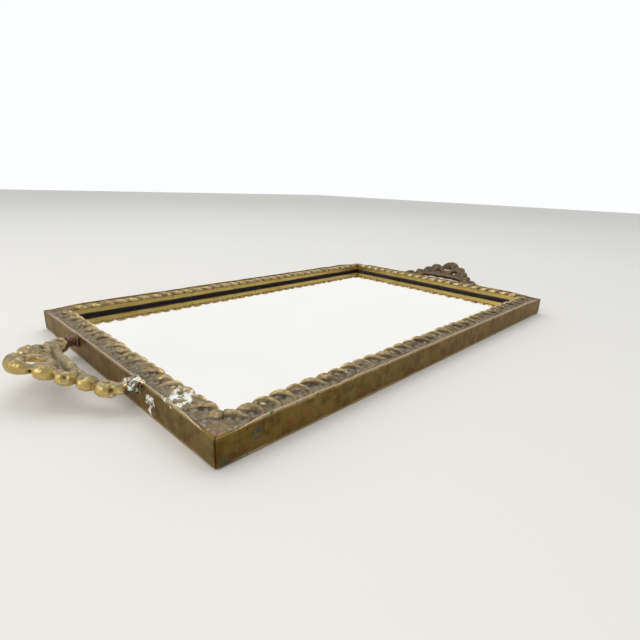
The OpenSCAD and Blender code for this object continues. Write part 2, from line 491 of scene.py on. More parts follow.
def rail_brass():
    look = Look("aged brass")
    crest = look.crest()
    broad = look.grain(24 * MM, detail=3.0)
    blotch = look.grain(6 * MM, detail=5.0, rough=0.6, lift=21.0)
    drips = look.grain((2.6 * MM, 2.6 * MM, 20 * MM), detail=5.0, rough=0.6, lift=3.0)
    fine = look.grain(0.8 * MM, detail=5.0, rough=0.6, lift=5.0)
    mottle = look.grain(1.8 * MM, detail=5.0, rough=0.65, lift=13.0)
    height = look.part_of("Z")
    colour = look.mix(broad.between(0.35, 0.65), metal(108, 83, 32), metal(126, 100, 46))
    colour = look.mix(blotch.between(0.45, 0.7) * 0.5, colour, metal(132, 112, 58))
    colour = look.mix((1 - blotch.between(0.34, 0.52)) * 0.65, colour, metal(84, 60, 22))
    colour = look.mix(drips.between(0.48, 0.72) * 0.28, colour, metal(138, 116, 66))
    colour = look.mix((1 - drips.between(0.30, 0.46)) * 0.28, colour, metal(70, 50, 24))
    tint = look.grain(12 * MM, detail=3.0, lift=11.0).between(0.56, 0.70)
    colour = look.mix(tint * 0.35, colour, metal(132, 88, 46))
    foot = (1 - height.between(0.6 * MM, 2.0 * MM)) * fine.between(0.3, 0.6)
    colour = look.mix(foot * 0.45, colour, metal(150, 132, 88))
    inward = look.inward()
    channel = inward.between(1.5 * MM, 2.6 * MM) * height.between(SLOT_TOP, CHANNEL_TOP)
    dusty = look.mix(mottle.between(0.38, 0.62), metal(92, 82, 66), metal(158, 152, 134))
    colour = look.mix(channel * 0.85, colour, dusty)
    # the lip and other high points go pale: rubbed wear, and partly a painted highlight along the lip
    worn = crest.between(0.12, 0.5) * fine.between(0.25, 0.55) * (1 - inward.between(3 * MM, 4 * MM))
    colour = look.mix(worn * 0.85, colour, metal(190, 172, 134))
    green = look.grain(7 * MM, detail=4.0, lift=17.0).between(0.66, 0.73)
    ragged = look.grain(2.2 * MM, detail=5.0, rough=0.65, lift=6.0)
    patch = look.near((-168 * MM, -HALF_WIDTH, 9 * MM), 6 * MM) * 0.4 + ragged
    foot_patch = look.near((-186 * MM, -HALF_WIDTH, 4 * MM), 5 * MM) * 0.35 + ragged
    green = green + patch.between(0.80, 0.87) + foot_patch.between(0.76, 0.86) * 0.6
    colour = look.mix(green.between(0.0, 1.0) * 0.85, colour, metal(30, 74, 52))
    spots = look.pits(5.5 * MM, lift=2.0).between(0.06, 0.12)
    colour = look.mix((1 - spots) * 0.4, colour, SOOT_AND_SHADE_BLACK)
    seam = 1 - look.off_mitre().between(0.15 * MM, 0.55 * MM)
    colour = look.mix(seam * 0.75, colour, metal(58, 42, 30))
    bloom = spatter_mask(look)
    colour = look.mix(bloom * 0.9, colour, look.mix(blotch.between(0.5, 0.7), WHITE_BLOOM, PALE_GREEN))
    copper = look.near((-HALF_LENGTH + 3 * MM, -HALF_WIDTH + 3 * MM, 15 * MM), 6 * MM) * channel
    colour = look.mix(copper * 0.8, colour, metal(150, 108, 86))
    shine = 0.42 + broad * 0.10 + fine * 0.14 + channel * 0.2 + bloom * 0.2 - worn * 0.12
    metallic = 0.92 - channel * 0.4 - bloom * 0.8 - green * 0.4
    skin = look.bump(fine, 0.10 * MM)
    skin = look.bump(blotch, 0.18 * MM, skin)
    return look.finish(Base_Color=colour, Roughness=shine, Metallic=metallic, Normal=skin)


def scroll_brass():
    look = Look("cast border brass")
    crest = look.crest()
    clear = look.inward().between(4.0 * MM, 8.5 * MM)
    broad = look.grain(18 * MM, detail=3.0, lift=1.0)
    mid = look.grain(3.0 * MM, detail=5.0, rough=0.6, lift=4.0)
    fine = look.grain(0.6 * MM, detail=5.0, rough=0.65, lift=9.0)
    colour = look.mix(broad.between(0.35, 0.65), metal(104, 90, 64), metal(134, 118, 84))
    colour = look.mix(mid.between(0.40, 0.65) * 0.6, colour, metal(128, 118, 100))
    # the hollows go dusty grey, partly as painted shade, and the deepest go near black as painted shade
    hollow = 1 - crest.between(-0.40, 0.12)
    dusty = look.mix(mid.between(0.4, 0.6), metal(82, 74, 62), metal(150, 146, 132))
    colour = look.mix(hollow * 0.9, colour, dusty)
    deep = 1 - crest.between(-0.80, -0.30)
    colour = look.mix(deep * 0.85, colour, metal(34, 30, 27))
    # the leaf crests go pale tan: rubbed wear, and partly a painted highlight
    worn = crest.between(0.16, 0.52) * mid.between(0.22, 0.55) * clear
    colour = look.mix(worn * 0.9, colour, metal(212, 186, 128))
    green = look.grain(6 * MM, detail=3.0, lift=31.0).between(0.66, 0.72) * hollow
    colour = look.mix(green * 0.7, colour, metal(92, 120, 96))
    bloom = spatter_mask(look)
    colour = look.mix(bloom * 0.9, colour, look.mix(mid.between(0.5, 0.7), WHITE_BLOOM, PALE_GREEN))
    shine = 0.50 - worn * 0.2 + fine * 0.14 + hollow * 0.2 + bloom * 0.2
    metallic = 0.9 - hollow * 0.45 - bloom * 0.8
    skin = look.bump(fine, 0.12 * MM)
    skin = look.bump(mid, 0.35 * MM, skin)
    return look.finish(Base_Color=colour, Roughness=shine, Metallic=metallic, Normal=skin)


def gilt_brass():
    look = Look("gilt brass")
    streaks = look.grain((14 * MM, 14 * MM, 1.5 * MM), detail=4.0, lift=2.0)
    fine = look.grain(0.6 * MM, detail=4.0)
    wear = look.grain(5 * MM, detail=4.0, lift=6.0).between(0.55, 0.7)
    colour = look.mix(streaks.between(0.35, 0.65), metal(190, 164, 92), metal(206, 182, 110))
    colour = look.mix(wear * 0.5, colour, metal(140, 116, 62))
    height = look.part_of("Z")
    # painted shade: the foot of the slip goes near black where it meets the mirror, its edge wavering
    # with the streaks
    slot_shade = 1 - (height + (streaks - 0.5) * 0.6 * MM).between(SLOT_TOP + 0.4 * MM, SLOT_TOP + 1.3 * MM)
    colour = look.mix(slot_shade * 0.9, colour, SOOT_AND_SHADE_BLACK)
    # painted shade: a dark band along the top of the slip, under the overhanging moulding
    top = height.between(SLIP_TOP - 0.8 * MM, SLIP_TOP - 0.1 * MM)
    colour = look.mix(top * 0.6, colour, metal(84, 68, 40))
    shine = 0.26 + fine * 0.14 + wear * 0.15 + slot_shade * 0.3
    skin = look.bump(fine, 0.04 * MM)
    return look.finish(Base_Color=colour, Roughness=shine, Metallic=1.0 - slot_shade * 0.6, Normal=skin)


def mirror_silver():
    look = Look("mirror")
    cloud = look.grain(60 * MM, detail=3.0)
    specks = look.pits(9 * MM, lift=3.0).between(0.03, 0.07)
    thin = look.grain(22 * MM, detail=2.0, lift=8.0).between(0.60, 0.66)
    fox = (1 - specks) * thin
    colour = look.mix(cloud, metal(250, 248, 243), metal(243, 241, 236))
    colour = look.mix(fox * 0.55, colour, metal(120, 118, 112))
    shine = 0.015 + fox * 0.25 + cloud * 0.01
    return look.finish(Base_Color=colour, Roughness=shine, Metallic=1.0)


def bedding():
    look = Look("black bedding")
    fine = look.grain(1.2 * MM, detail=4.0)
    colour = look.mix(fine, metal(30, 32, 40), metal(66, 64, 64))
    skin = look.bump(fine, 0.2 * MM)
    return look.finish(Base_Color=colour, Roughness=0.7 + fine * 0.2, Normal=skin)


def packing_card():
    look = Look("packing card")
    fibre = look.grain((4 * MM, 0.5 * MM, 0.5 * MM), detail=4.0)
    stain = look.grain(20 * MM, detail=3.0, lift=4.0).between(0.5, 0.7)
    colour = look.mix(fibre, metal(160, 138, 104), metal(190, 168, 130))
    colour = look.mix(stain * 0.6, colour, metal(112, 88, 58))
    skin = look.bump(fibre, 0.1 * MM)
    return look.finish(Base_Color=colour, Roughness=0.85 + fibre * 0.1, Normal=skin)


def board_wood():
    look = Look("board wood")
    rings = look.grain((90 * MM, 3.0 * MM, 3.0 * MM), detail=5.0)
    pores = look.grain((6 * MM, 0.4 * MM, 0.4 * MM), detail=3.0, lift=5.0)
    colour = look.mix(rings.between(0.3, 0.7), metal(112, 78, 46), metal(158, 118, 76))
    colour = look.mix((1 - pores.between(0.3, 0.5)) * 0.5, colour, metal(64, 42, 24))
    skin = look.bump(pores, 0.15 * MM)
    return look.finish(Base_Color=colour, Roughness=0.6 + pores * 0.2, Normal=skin)


def brown_paper():
    look = Look("brown paper")
    fibre = look.grain((2.0 * MM, 0.5 * MM, 0.5 * MM), detail=4.0)
    fold = look.grain(24 * MM, detail=3.0, lift=3.0)
    stain = look.grain(30 * MM, detail=4.0, lift=9.0).between(0.52, 0.66)
    colour = look.mix(fibre, metal(122, 92, 60), metal(148, 116, 80))
    colour = look.mix(stain * 0.55, colour, metal(78, 54, 32))
    skin = look.bump(fibre, 0.06 * MM)
    skin = look.bump(fold, 0.2 * MM, skin)
    return look.finish(Base_Color=colour, Roughness=0.8 + fibre * 0.15, Normal=skin)


def fitting_brass():
    look = Look("fitting brass")
    rolled = look.grain((0.4 * MM, 12 * MM, 0.4 * MM), detail=3.0)
    spot = look.grain(5 * MM, detail=4.0, lift=5.0).between(0.5, 0.68)
    colour = look.mix(rolled, metal(150, 122, 64), metal(184, 154, 90))
    colour = look.mix(spot * 0.7, colour, metal(88, 66, 36))
    shine = 0.36 + rolled * 0.12 + spot * 0.25
    skin = look.bump(rolled, 0.05 * MM)
    return look.finish(Base_Color=colour, Roughness=shine, Metallic=0.95, Normal=skin)


def handle_brass(name, dark):
    """Cast brass, rubbed bright where it is held, with painted highlights on its crests and painted
    shade in its hollows; dark is how much of it has gone brown.
    """
    look = Look(name)
    crest = look.crest()
    broad = look.grain(14 * MM, detail=3.0, lift=1.5)
    mid = look.grain(2.6 * MM, detail=5.0, rough=0.6, lift=4.5)
    fine = look.grain(0.6 * MM, detail=5.0, rough=0.65, lift=9.5)
    colour = look.mix(broad.between(0.3, 0.7), metal(178, 152, 90), metal(202, 176, 112))
    facing = look.node("ShaderNodeNewGeometry", {}, out="Normal")
    upward = look.node("ShaderNodeSeparateXYZ", {}, facing, out="Z")
    dust = upward.between(0.30, 0.75) * (0.35 + mid.between(0.36, 0.56) * 0.65)
    colour = look.mix(dust * 0.85, colour, look.mix(fine, metal(72, 66, 54), metal(140, 132, 114)))
    colour = look.mix(dark, colour, look.mix(mid, metal(60, 48, 38), metal(100, 84, 64)))
    # the hollows go dark grey-brown: grime, and partly painted shade; the deepest go near black as
    # painted shade
    hollow = 1 - crest.between(-0.40, 0.10)
    colour = look.mix(hollow * 0.9, colour, look.mix(mid, metal(48, 42, 34), metal(96, 88, 74)))
    deep = 1 - crest.between(-0.9, -0.35)
    colour = look.mix(deep * 0.85, colour, metal(32, 28, 25))
    # the crests go cream: rubbed wear where it is held, and partly a painted highlight
    worn = crest.between(0.22, 0.65) * mid.between(0.25, 0.55) * (1 - dust * 0.5)
    colour = look.mix(worn * 0.8 * (1 - dark * 0.7), colour, metal(240, 216, 158))
    bloom = spatter_mask(look)
    colour = look.mix(bloom * 0.9, colour, look.mix(mid.between(0.5, 0.7), WHITE_BLOOM, PALE_GREEN))
    shine = 0.27 - worn * 0.08 + fine * 0.12 + hollow * 0.25 + dust * 0.28
    metallic = 0.98 - hollow * 0.35 - bloom * 0.8 - dust * 0.4
    skin = look.bump(fine, 0.08 * MM)
    skin = look.bump(mid, 0.25 * MM, skin)
    return look.finish(Base_Color=colour, Roughness=shine, Metallic=metallic, Normal=skin)


def red_brass():
    look = Look("red brass")
    mid = look.grain(2.0 * MM, detail=4.0)
    fine = look.grain(0.5 * MM, detail=4.0, lift=4.0)
    colour = look.mix(mid.between(0.35, 0.65), metal(92, 72, 58), metal(132, 102, 86))
    colour = look.mix((1 - fine.between(0.3, 0.5)) * 0.6, colour, metal(54, 40, 32))
    skin = look.bump(mid, 0.2 * MM)
    return look.finish(Base_Color=colour, Roughness=0.5 + fine * 0.2, Metallic=0.8, Normal=skin)


def solder_grey():
    look = Look("solder")
    crest = look.crest()
    mid = look.grain(2.2 * MM, detail=4.0)
    fine = look.grain(0.5 * MM, detail=4.0, lift=4.0)
    colour = look.mix(mid.between(0.35, 0.6), metal(84, 72, 56), metal(128, 112, 84))
    pink = look.grain(3.0 * MM, detail=3.0, lift=12.0).between(0.55, 0.62)
    colour = look.mix(pink * 0.5, colour, metal(150, 112, 104))
    bloom = spatter_mask(look)
    colour = look.mix(bloom * 0.9, colour, look.mix(mid.between(0.4, 0.6), WHITE_BLOOM, PALE_GREEN))
    # the crevices between the lumps go dark: soot, and partly painted shade
    hollow = 1 - crest.between(-0.7, 0.0)
    colour = look.mix(hollow * 0.6, colour, SOOT_AND_SHADE_BLACK)
    skin = look.bump(mid, 0.25 * MM)
    metallic = 0.8 - bloom * 0.7
    return look.finish(Base_Color=colour, Roughness=0.42 + fine * 0.3, Metallic=metallic, Normal=skin)


AGED_BRASS = rail_brass()
BORDER_BRASS = scroll_brass()
GILT_BRASS = gilt_brass()
GRIP_BRASS = handle_brass("cast handle brass", 0.0)
BROWN_GRIP_BRASS = handle_brass("browned handle brass", 0.9)
RED_BRASS = red_brass()
SOLDER = solder_grey()
FITTING_BRASS = fitting_brass()
BROWN_PAPER = brown_paper()

for node_name, finish in {
    "mirror_glass": mirror_silver(),
    "glass_bedding": bedding(),
    "packing_sheet": packing_card(),
    "backing_board": board_wood(),
    "retaining_tabs": FITTING_BRASS,
    **{
        f"{side}_{end}_corner_plate": FITTING_BRASS
        for side in ("front", "back")
        for end in ("left", "right")
    },
}.items():
    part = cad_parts[node_name]
    for i in range(len(part.data.materials)):
        part.data.materials[i] = finish


# ---------------------------------------------------------------- rails

CHANNEL_FLOOR = MOULDING_FOOT
LIP_FOOT = CHANNEL_FLOOR + 0.6 * MM
RAIL_SECTION = [
    (0, 0),
    (WALL_THICK, 0),
    (WALL_THICK, SLOT_TOP),
    (SLIP_OUT, SLOT_TOP),
    (SLIP_OUT, CHANNEL_FLOOR),
    (5.4 * MM, CHANNEL_FLOOR),
    (4.6 * MM, CHANNEL_FLOOR + 0.55 * MM),
    (3.4 * MM, CHANNEL_FLOOR + 0.8 * MM),
    (2.2 * MM, CHANNEL_FLOOR + 1.5 * MM),
    (LIP_WIDTH, WALL_TOP - 0.5 * MM),
    (LIP_WIDTH * 0.75, WALL_TOP),
    (0, WALL_TOP),
]
RAIL_EDGES = [(0, 0), (WALL_THICK, 0), (LIP_WIDTH * 0.75, WALL_TOP), (0, WALL_TOP)]


def off_mitre(place):
    """How far a place is from the nearest mitre, in metres."""
    return abs(abs(place.x) - abs(place.y) - (HALF_LENGTH - HALF_WIDTH)) / math.sqrt(2)


def corner_share(along, half):
    """0 over most of a side, climbing to 1 at its ends."""
    return eased(abs(along), half - CORNER_REACH, half + 6 * MM)


def wear_rail(bm, side):
    """Dips the lip and lifts the foot at the corners, and gives the lip its worn, wavy line."""
    where = onto(side)
    for v in bm.verts:
        along, inward, up = v.co
        near_end = corner_share(along, side.half)
        away = eased(side.half - abs(along) - inward, 0.0, 6 * MM)
        spot = where @ v.co
        if up > LIP_FOOT:
            share = (up - LIP_FOOT) / (WALL_TOP - LIP_FOOT)
            wave = noise.noise(spot / (13 * MM)) + 0.6 * noise.noise(spot / (4.1 * MM))
            sag = LIP_SAG * (1 + wave) * away
            v.co.z -= share * (CORNER_DIP * near_end + sag)
        if up < FOOT_ZONE and inward < WALL_THICK + 1e-6:
            v.co.z += CORNER_LIFT * near_end * (1 - up / FOOT_ZONE)
        end_gap = side.half - abs(along)
        if inward < LIP_WIDTH:
            v.co.y += 0.28 * MM * (1 - eased(end_gap - inward, 0.0, 1.6 * MM))
        if inward < LIP_WIDTH and up > 0.5 * MM:
            ripple = noise.noise(spot / (16 * MM)) + 0.5 * noise.noise(spot / (5 * MM))
            v.co.y += 0.10 * MM * max(0.0, 1 + ripple) * away


for side in SIDES:
    bar = swept_bar(RAIL_SECTION, side.half, 1.3 * MM, 1.5 * MM)
    round_long_edges(bar, RAIL_EDGES, 0.32 * MM)
    mitre(bar, side.half)
    wear_rail(bar, side)
    bmesh.ops.transform(bar, matrix=onto(side), verts=bar.verts)
    finished(
        bar,
        f"{side.name}_rail_strip",
        AGED_BRASS,
        [f"{side.name}_rail"],
        crests=(10, 0.35 * MM, lambda place: eased(off_mitre(place), 1 * MM, 12 * MM)),
    )

# ---------------------------------------------------------------- gilt slips

SLIP_SECTION = [
    (SLIP_OUT, SLOT_TOP),
    (SLIP_IN, SLOT_TOP),
    (SLIP_IN, SLIP_TOP),
    (SLIP_OUT, SLIP_TOP),
]

for side in SIDES:
    bar = swept_bar(SLIP_SECTION, side.half, 2.5 * MM, 1.2 * MM)
    round_long_edges(bar, [SLIP_SECTION[1], SLIP_SECTION[2]], 0.45 * MM)
    mitre(bar, side.half)
    bmesh.ops.transform(bar, matrix=onto(side), verts=bar.verts)
    finished(bar, f"{side.name}_slip_bar", GILT_BRASS, [f"{side.name}_slip"])

# ---------------------------------------------------------------- scroll mouldings

# Each leaf is a bowed finger. Its spine goes from the tip over the mirror, along the inner edge
# and out across the channel to the foot of the lip, as (along, inward, up) in millimetres, and
# the list beside it is its half width on the way. Some leaves carry a second, lower finger or a
# bud in their hollow.
ARCH = [
    (-4.8, 14.6, 15.8), (-2.2, 14.1, 16.2), (0.9, 13.0, 16.4), (3.3, 10.8, 16.1),
    (4.9, 8.0, 15.4), (5.6, 5.2, 15.0), (4.2, 3.2, 15.1),
]
LONG_ARCH = [
    (-5.4, 14.4, 15.7), (-2.2, 14.0, 16.3), (1.4, 12.8, 16.5), (4.4, 10.4, 16.0),
    (6.6, 7.6, 15.3), (8.2, 5.1, 15.0), (6.6, 3.0, 15.1),
]
OVAL = [
    (-4.4, 14.2, 15.6), (-1.8, 13.0, 15.9), (0.8, 11.4, 16.0), (3.0, 9.6, 15.7),
    (4.6, 7.4, 15.2), (5.4, 5.0, 15.0), (4.4, 3.3, 15.1),
]
INNER_ARCH = [
    (-4.0, 11.9, 15.4), (-1.4, 11.5, 15.9), (0.8, 10.0, 15.7), (2.1, 7.8, 15.2),
    (2.6, 5.2, 14.9), (1.4, 3.6, 15.0),
]
SHORT_INNER = [
    (-3.8, 11.4, 15.2), (-1.8, 10.6, 15.5), (-0.2, 9.0, 15.2), (0.6, 7.2, 14.7),
]

LEAF_FORMS = [
    [(OVAL, [1.3, 2.9, 3.4, 3.0, 2.3, 1.8, 1.1])],
    [(ARCH, [0.9, 1.7, 2.2, 2.1, 1.8, 1.6, 1.0]), (SHORT_INNER, [0.9, 1.6, 1.5, 0.7])],
    [(ARCH, [1.0, 2.0, 2.6, 2.4, 2.0, 1.7, 1.0])],
    [(ARCH, [1.0, 1.9, 2.3, 2.1, 1.8, 1.6, 1.0]), (INNER_ARCH, [0.8, 1.5, 1.6, 1.2, 0.8, 0.5])],
    [(LONG_ARCH, [1.0, 2.1, 2.7, 2.4, 2.0, 1.7, 1.0])],
]
BUDS = {1: (-3.3, 12.2, 15.9, 1.25), 2: (-3.0, 10.6, 15.2, 1.2)}
LEAF_FLAT = 0.84

# the strip starts under the slope that comes down from the lip, so that its edge is hidden
CHANNEL_EDGE = 2.9 * MM
STRIP_SECTION = [
    (MOULDING_IN - 1.4 * MM, SLIP_TOP),
    (SLIP_OUT, SLIP_TOP),
    (SLIP_OUT, MOULDING_FOOT),
    (CHANNEL_EDGE, MOULDING_FOOT),
    (CHANNEL_EDGE, MOULDING_FOOT + 0.5 * MM),
    (4.6 * MM, MOULDING_FOOT + 0.7 * MM),
    (8.0 * MM, MOULDING_FOOT + 1.0 * MM),
    (12.0 * MM, MOULDING_FOOT + 1.6 * MM),
    (MOULDING_IN - 1.6 * MM, MOULDING_FOOT + 1.9 * MM),
]


def add_leaf(bm, form, along, lean, size):
    """The fingers of one leaf of the moulding at its place along the side."""
    for points, widths in form:
        spine = [Vector((along + lean * x * MM, inward * MM, up * MM)) for x, inward, up in points]
        add_horn(bm, trail(spine), steps_of([w * MM * size for w in widths]), flat=LEAF_FLAT)


def scroll_moulding(side, seed):
    """The strip with its row of leaves, melted together and mitred at both ends."""
    rng = random.Random(seed)
    bm = swept_bar(STRIP_SECTION, side.half - 2 * MM, 1.5 * MM, 1.5 * MM)
    count = int((2 * (side.half - MOULDING_IN)) / LEAF_PITCH)
    for i in range(-1, count + 1):
        form = LEAF_FORMS[i % len(LEAF_FORMS)]
        along = (i - (count - 1) / 2) * LEAF_PITCH + rng.uniform(-0.5, 0.5) * MM
        add_leaf(bm, form, along, side.lean, rng.uniform(0.93, 1.07))
        if i % len(LEAF_FORMS) in BUDS:
            ahead, inward, up, radius = (value * MM for value in BUDS[i % len(LEAF_FORMS)])
            add_ball(bm, (along + side.lean * ahead, inward, up), radius)
    bm = fused(bm, 0.46 * MM)
    roughen(bm, 0.16 * MM, 1.8 * MM, seed)
    for v in bm.verts:
        v.co.z = min(v.co.z, MOULDING_TOP)
        v.co.y = min(v.co.y, MOULDING_IN)
    for end in (-1, 1):
        trim(bm, (end * side.half, 0, 0), Vector((end, 1, 0)).normalized())
    bmesh.ops.transform(bm, matrix=onto(side), verts=bm.verts)
    return bm


for number, side in enumerate(SIDES):
    finished(
        scroll_moulding(side, 11 + number),
        f"{side.name}_scroll_moulding",
        BORDER_BRASS,
        [f"{side.name}_scroll"],
        crests=(14, 0.8 * MM, lambda place: eased(off_mitre(place), 0.2 * MM, 2.4 * MM)),
    )

# ---------------------------------------------------------------- handles

CREST_DROP = 1.9 * MM
LEFT_SLOPE = math.radians(18)
RIGHT_SLOPE = math.radians(24)


def onto_slope(slope):
    """Slopes a crest, drawn flat outwards along -Y, about the outer ends of its studs."""
    hinge = Vector((0, -STUD_LENGTH, STUD_HEIGHT - CREST_DROP))
    return (
        Matrix.Translation(hinge)
        @ Matrix.Rotation(-slope, 4, "X")
        @ Matrix.Translation((0, STUD_LENGTH, 0))
    )


def curl_path(middle, radius, start, sweep, height, tighten=0.45):
    """A spiral in the plane of the crest, from its outside towards its middle."""

    def place(share):
        turn = math.radians(start + sweep * share)
        reach = radius * (1 - tighten * share)
        return Vector(
            (middle.x + reach * math.cos(turn), middle.y + reach * math.sin(turn), height)
        )

    return place


# the lobes of one flank, from beside the peak down to the stud: along, outward, radius
LOBES = [(15.8, 35.0, 5.8), (23.6, 27.2, 5.6), (31.2, 19.4, 5.2), (40.6, 12.8, 5.9)]
LOBE_HALF = 3.9 * MM
# the curled lobes, counted in LOBES, with the half width of a curl and how far it turns
CURLED = (1, 3)
CURL_GIRTH = 1.5
CURL_TURN = 325
# the fat rim of the peak: along, outward; it hangs a little below the rest
PEAK_ARC = [(-11.5, 36.5), (-6.8, 42.4), (0, 45), (6.8, 42.4), (11.5, 36.5)]
PEAK_DROP = 0.7 * MM
# where the rib under the lobes starts, beside the peak
RIB_START = (6.3, 41.0, 0)


def add_lobe(bm, middle, radius, half):
    """A fat round lobe with upright flanks and a domed top."""
    ball = bmesh.ops.create_uvsphere(bm, u_segments=28, v_segments=18, radius=1.0)
    for v in ball["verts"]:
        flat = math.hypot(v.co.x, v.co.y)
        swell = radius * flat**-0.4 if flat > 1e-6 else 0.0
        height = math.copysign(abs(v.co.z) ** 0.7, v.co.z) * half
        v.co = Vector((middle.x + v.co.x * swell, middle.y + v.co.y * swell, height + middle.z))


def handle_crest():
    """The openwork crest, flat: a fat peak, lobes down both flanks, and the finger bar."""
    bm = bmesh.new()
    for way in (-1, 1):
        for number, (along, outward, radius) in enumerate(LOBES):
            middle = Vector((way * along * MM, -outward * MM, (0.1 - 0.2 * number) * MM))
            add_lobe(bm, middle, radius * MM, LOBE_HALF)
        # curls on the upper faces turn in to the second and the last lobe
        for number in CURLED:
            along, outward, radius = LOBES[number]
            middle = Vector((way * along * MM, -outward * MM, 0))
            reach = (radius - CURL_GIRTH) * MM
            rim = curl_path(middle, reach, 90 + way * 100, -way * CURL_TURN, 2.4 * MM)
            widths = steps_of([share * CURL_GIRTH * MM for share in (0.6, 1.0, 1.0, 0.7)])
            add_horn(bm, rim, widths, flat=0.9, rings=30, sides=10)
        neck = trail(
            [
                (way * 9.0 * MM, -37.0 * MM, 1.8 * MM),
                (way * 14.5 * MM, -36.0 * MM, 3.0 * MM),
                (way * 19.5 * MM, -34.5 * MM, 2.8 * MM),
                (way * 22.0 * MM, -30.0 * MM, 1.6 * MM),
            ]
        )
        add_horn(bm, neck, steps_of([1.2 * MM, 2.2 * MM, 2.0 * MM, 1.0 * MM]))
        flute = trail([(way * 30 * MM, -17.5 * MM, 2.6 * MM), (way * 36 * MM, -22.5 * MM, 2.2 * MM)])
        add_horn(bm, flute, steps_of([1.6 * MM, 2.0 * MM]))
        strap = trail(
            [
                (way * 36.0 * MM, -15.5 * MM, 1.6 * MM),
                (way * 42.0 * MM, -12.5 * MM, 2.0 * MM),
                (way * 46.0 * MM, -8.8 * MM, 1.2 * MM),
                (way * 45.0 * MM, -5.0 * MM, 0.6 * MM),
            ]
        )
        add_horn(bm, strap, steps_of([2.4 * MM, 2.8 * MM, 3.4 * MM, 3.6 * MM]), flat=0.9)
        rib = trail(
            [(way * a * MM, -(o - 5.0) * MM, -0.6 * MM) for a, o, _ in [RIB_START] + LOBES]
        )
        add_horn(bm, rib, steps_of([3.2 * MM, 3.6 * MM, 3.4 * MM, 2.8 * MM]), flat=0.75, rings=36)
        web_arc = ((7, 27), (17, 24.5), (27, 19), (38, 12))
        web = trail([(way * a * MM, -o * MM, -1.2 * MM) for a, o in web_arc])
        add_horn(bm, web, steps_of([5.4 * MM, 5.0 * MM, 4.2 * MM, 3.0 * MM]), flat=0.36, rings=30)
    peak = trail([(x * MM, -y * MM, -PEAK_DROP) for x, y in PEAK_ARC])
    peak_widths = steps_of([3.4 * MM, 4.5 * MM, 4.9 * MM, 4.5 * MM, 3.4 * MM])
    add_horn(bm, peak, peak_widths, flat=1.1, rings=48, sides=20)
    ring = [
        (8.6 * MM * math.cos(turn), (-34.6 + 6.2 * math.sin(turn)) * MM, 0.2 * MM)
        for turn in (math.radians(a) for a in range(-95, 281, 25))
    ]
    add_horn(bm, trail(ring), steps_of([3.0 * MM, 3.0 * MM]), flat=0.95, rings=60)
    apron = trail([(x * MM, -25.0 * MM, -1.0 * MM) for x in range(-12, 13, 6)])
    add_horn(bm, apron, steps_of([3.0 * MM, 3.8 * MM, 3.0 * MM]), flat=0.5, rings=30)
    # the bar bows away from the tray in the middle, and is knotted like a twig
    bar = trail([(x * MM, -(20.0 - 11.0 * abs(x / 45) ** 3) * MM, 0.2 * MM) for x in range(-44, 45, 8)])
    knots = steps_of([(2.8 + (0.6 if i % 3 == 0 else 0.0)) * MM for i in range(22)])
    add_horn(bm, bar, knots, flat=0.95, rings=80)
    return bm


def press_hollow(bm, place, way_in, radius, depth):
    """Presses a round hollow into the skin that faces against way_in."""
    for v in bm.verts:
        offset = v.co - place
        away = (offset - way_in * offset.dot(way_in)).length / radius
        if away < 1 and v.normal.dot(way_in) < -0.1 and offset.length < 2.5 * radius:
            v.co += way_in * (depth * (1 - away * away) ** 2)


def carve_crest(bm):
    """The eyes of the curls, the pits beside the peak and the hollows inside the flanks."""
    down = Vector((0, 0, -1))
    for way in (-1, 1):
        bm.normal_update()
        press_hollow(bm, Vector((way * 5.2, -41.0, 4.0)) * MM, down, 4.0 * MM, 2.4 * MM)
        for along, outward, _ in (LOBES[number] for number in CURLED):
            press_hollow(bm, Vector((way * along, -outward, 3.0)) * MM, down, 3.0 * MM, 2.7 * MM)
        press_hollow(bm, Vector((way * 20.0, -27.0, 1.5)) * MM, down, 3.4 * MM, 1.6 * MM)
        for along, outward, radius in (LOBES[number] for number in CURLED):
            face_in = Vector((-way * along, outward - 16.0, -3.0)).normalized()
            spot = Vector((way * along, -outward, 0.6)) * MM - face_in * radius * MM
            press_hollow(bm, spot, face_in, 2.3 * MM, 1.7 * MM)
        pit_in = Vector((-way * 0.75, 0.66, 0.0))
        press_hollow(bm, Vector((way * 13.4, -42.6, -1.6)) * MM, pit_in, 1.6 * MM, 3.2 * MM)


def add_tail(bm, near_end, rise):
    """The leaf that runs from the end of the handle on to the lip of the rail."""
    path = trail(
        [
            (near_end * 40.0 * MM, -11.5 * MM, STUD_HEIGHT + rise),
            (near_end * 45.0 * MM, -6.0 * MM, STUD_HEIGHT + 1.2 * MM),
            (near_end * 49.0 * MM, -1.8 * MM, STUD_HEIGHT + 3.0 * MM),
            (near_end * 53.0 * MM, 0.4 * MM, STUD_HEIGHT + 4.2 * MM),
            (near_end * 57.5 * MM, 1.2 * MM, STUD_HEIGHT + 4.4 * MM),
        ]
    )
    add_horn(bm, path, steps_of([2.2 * MM, 2.8 * MM, 2.6 * MM, 2.0 * MM, 0.9 * MM]), rings=30)


def handle(side, slope, near_end, material, seed):
    bm = fused(handle_crest(), 0.55 * MM)
    carve_crest(bm)
    bmesh.ops.transform(bm, matrix=onto_slope(slope), verts=bm.verts)
    trim(bm, (0, -STUD_LENGTH, 0), (0, 1, 0))
    add_tail(bm, near_end, 1.2 * MM)
    bm = fused(bm, 0.5 * MM)
    roughen(bm, 0.22 * MM, 3.6 * MM, seed)
    roughen(bm, 0.12 * MM, 1.6 * MM, seed + 3)
    bmesh.ops.transform(bm, matrix=onto(side), verts=bm.verts)
    finished(
        bm,
        f"{side.name}_handle_crest",
        material,
        [f"{side.name}_handle"],
        crests=(16, 1.0 * MM),
    )


handle(LEFT, LEFT_SLOPE, 1, GRIP_BRASS, 5)
handle(RIGHT, RIGHT_SLOPE, -1, BROWN_GRIP_BRASS, 6)

# ---------------------------------------------------------------- studs and solder


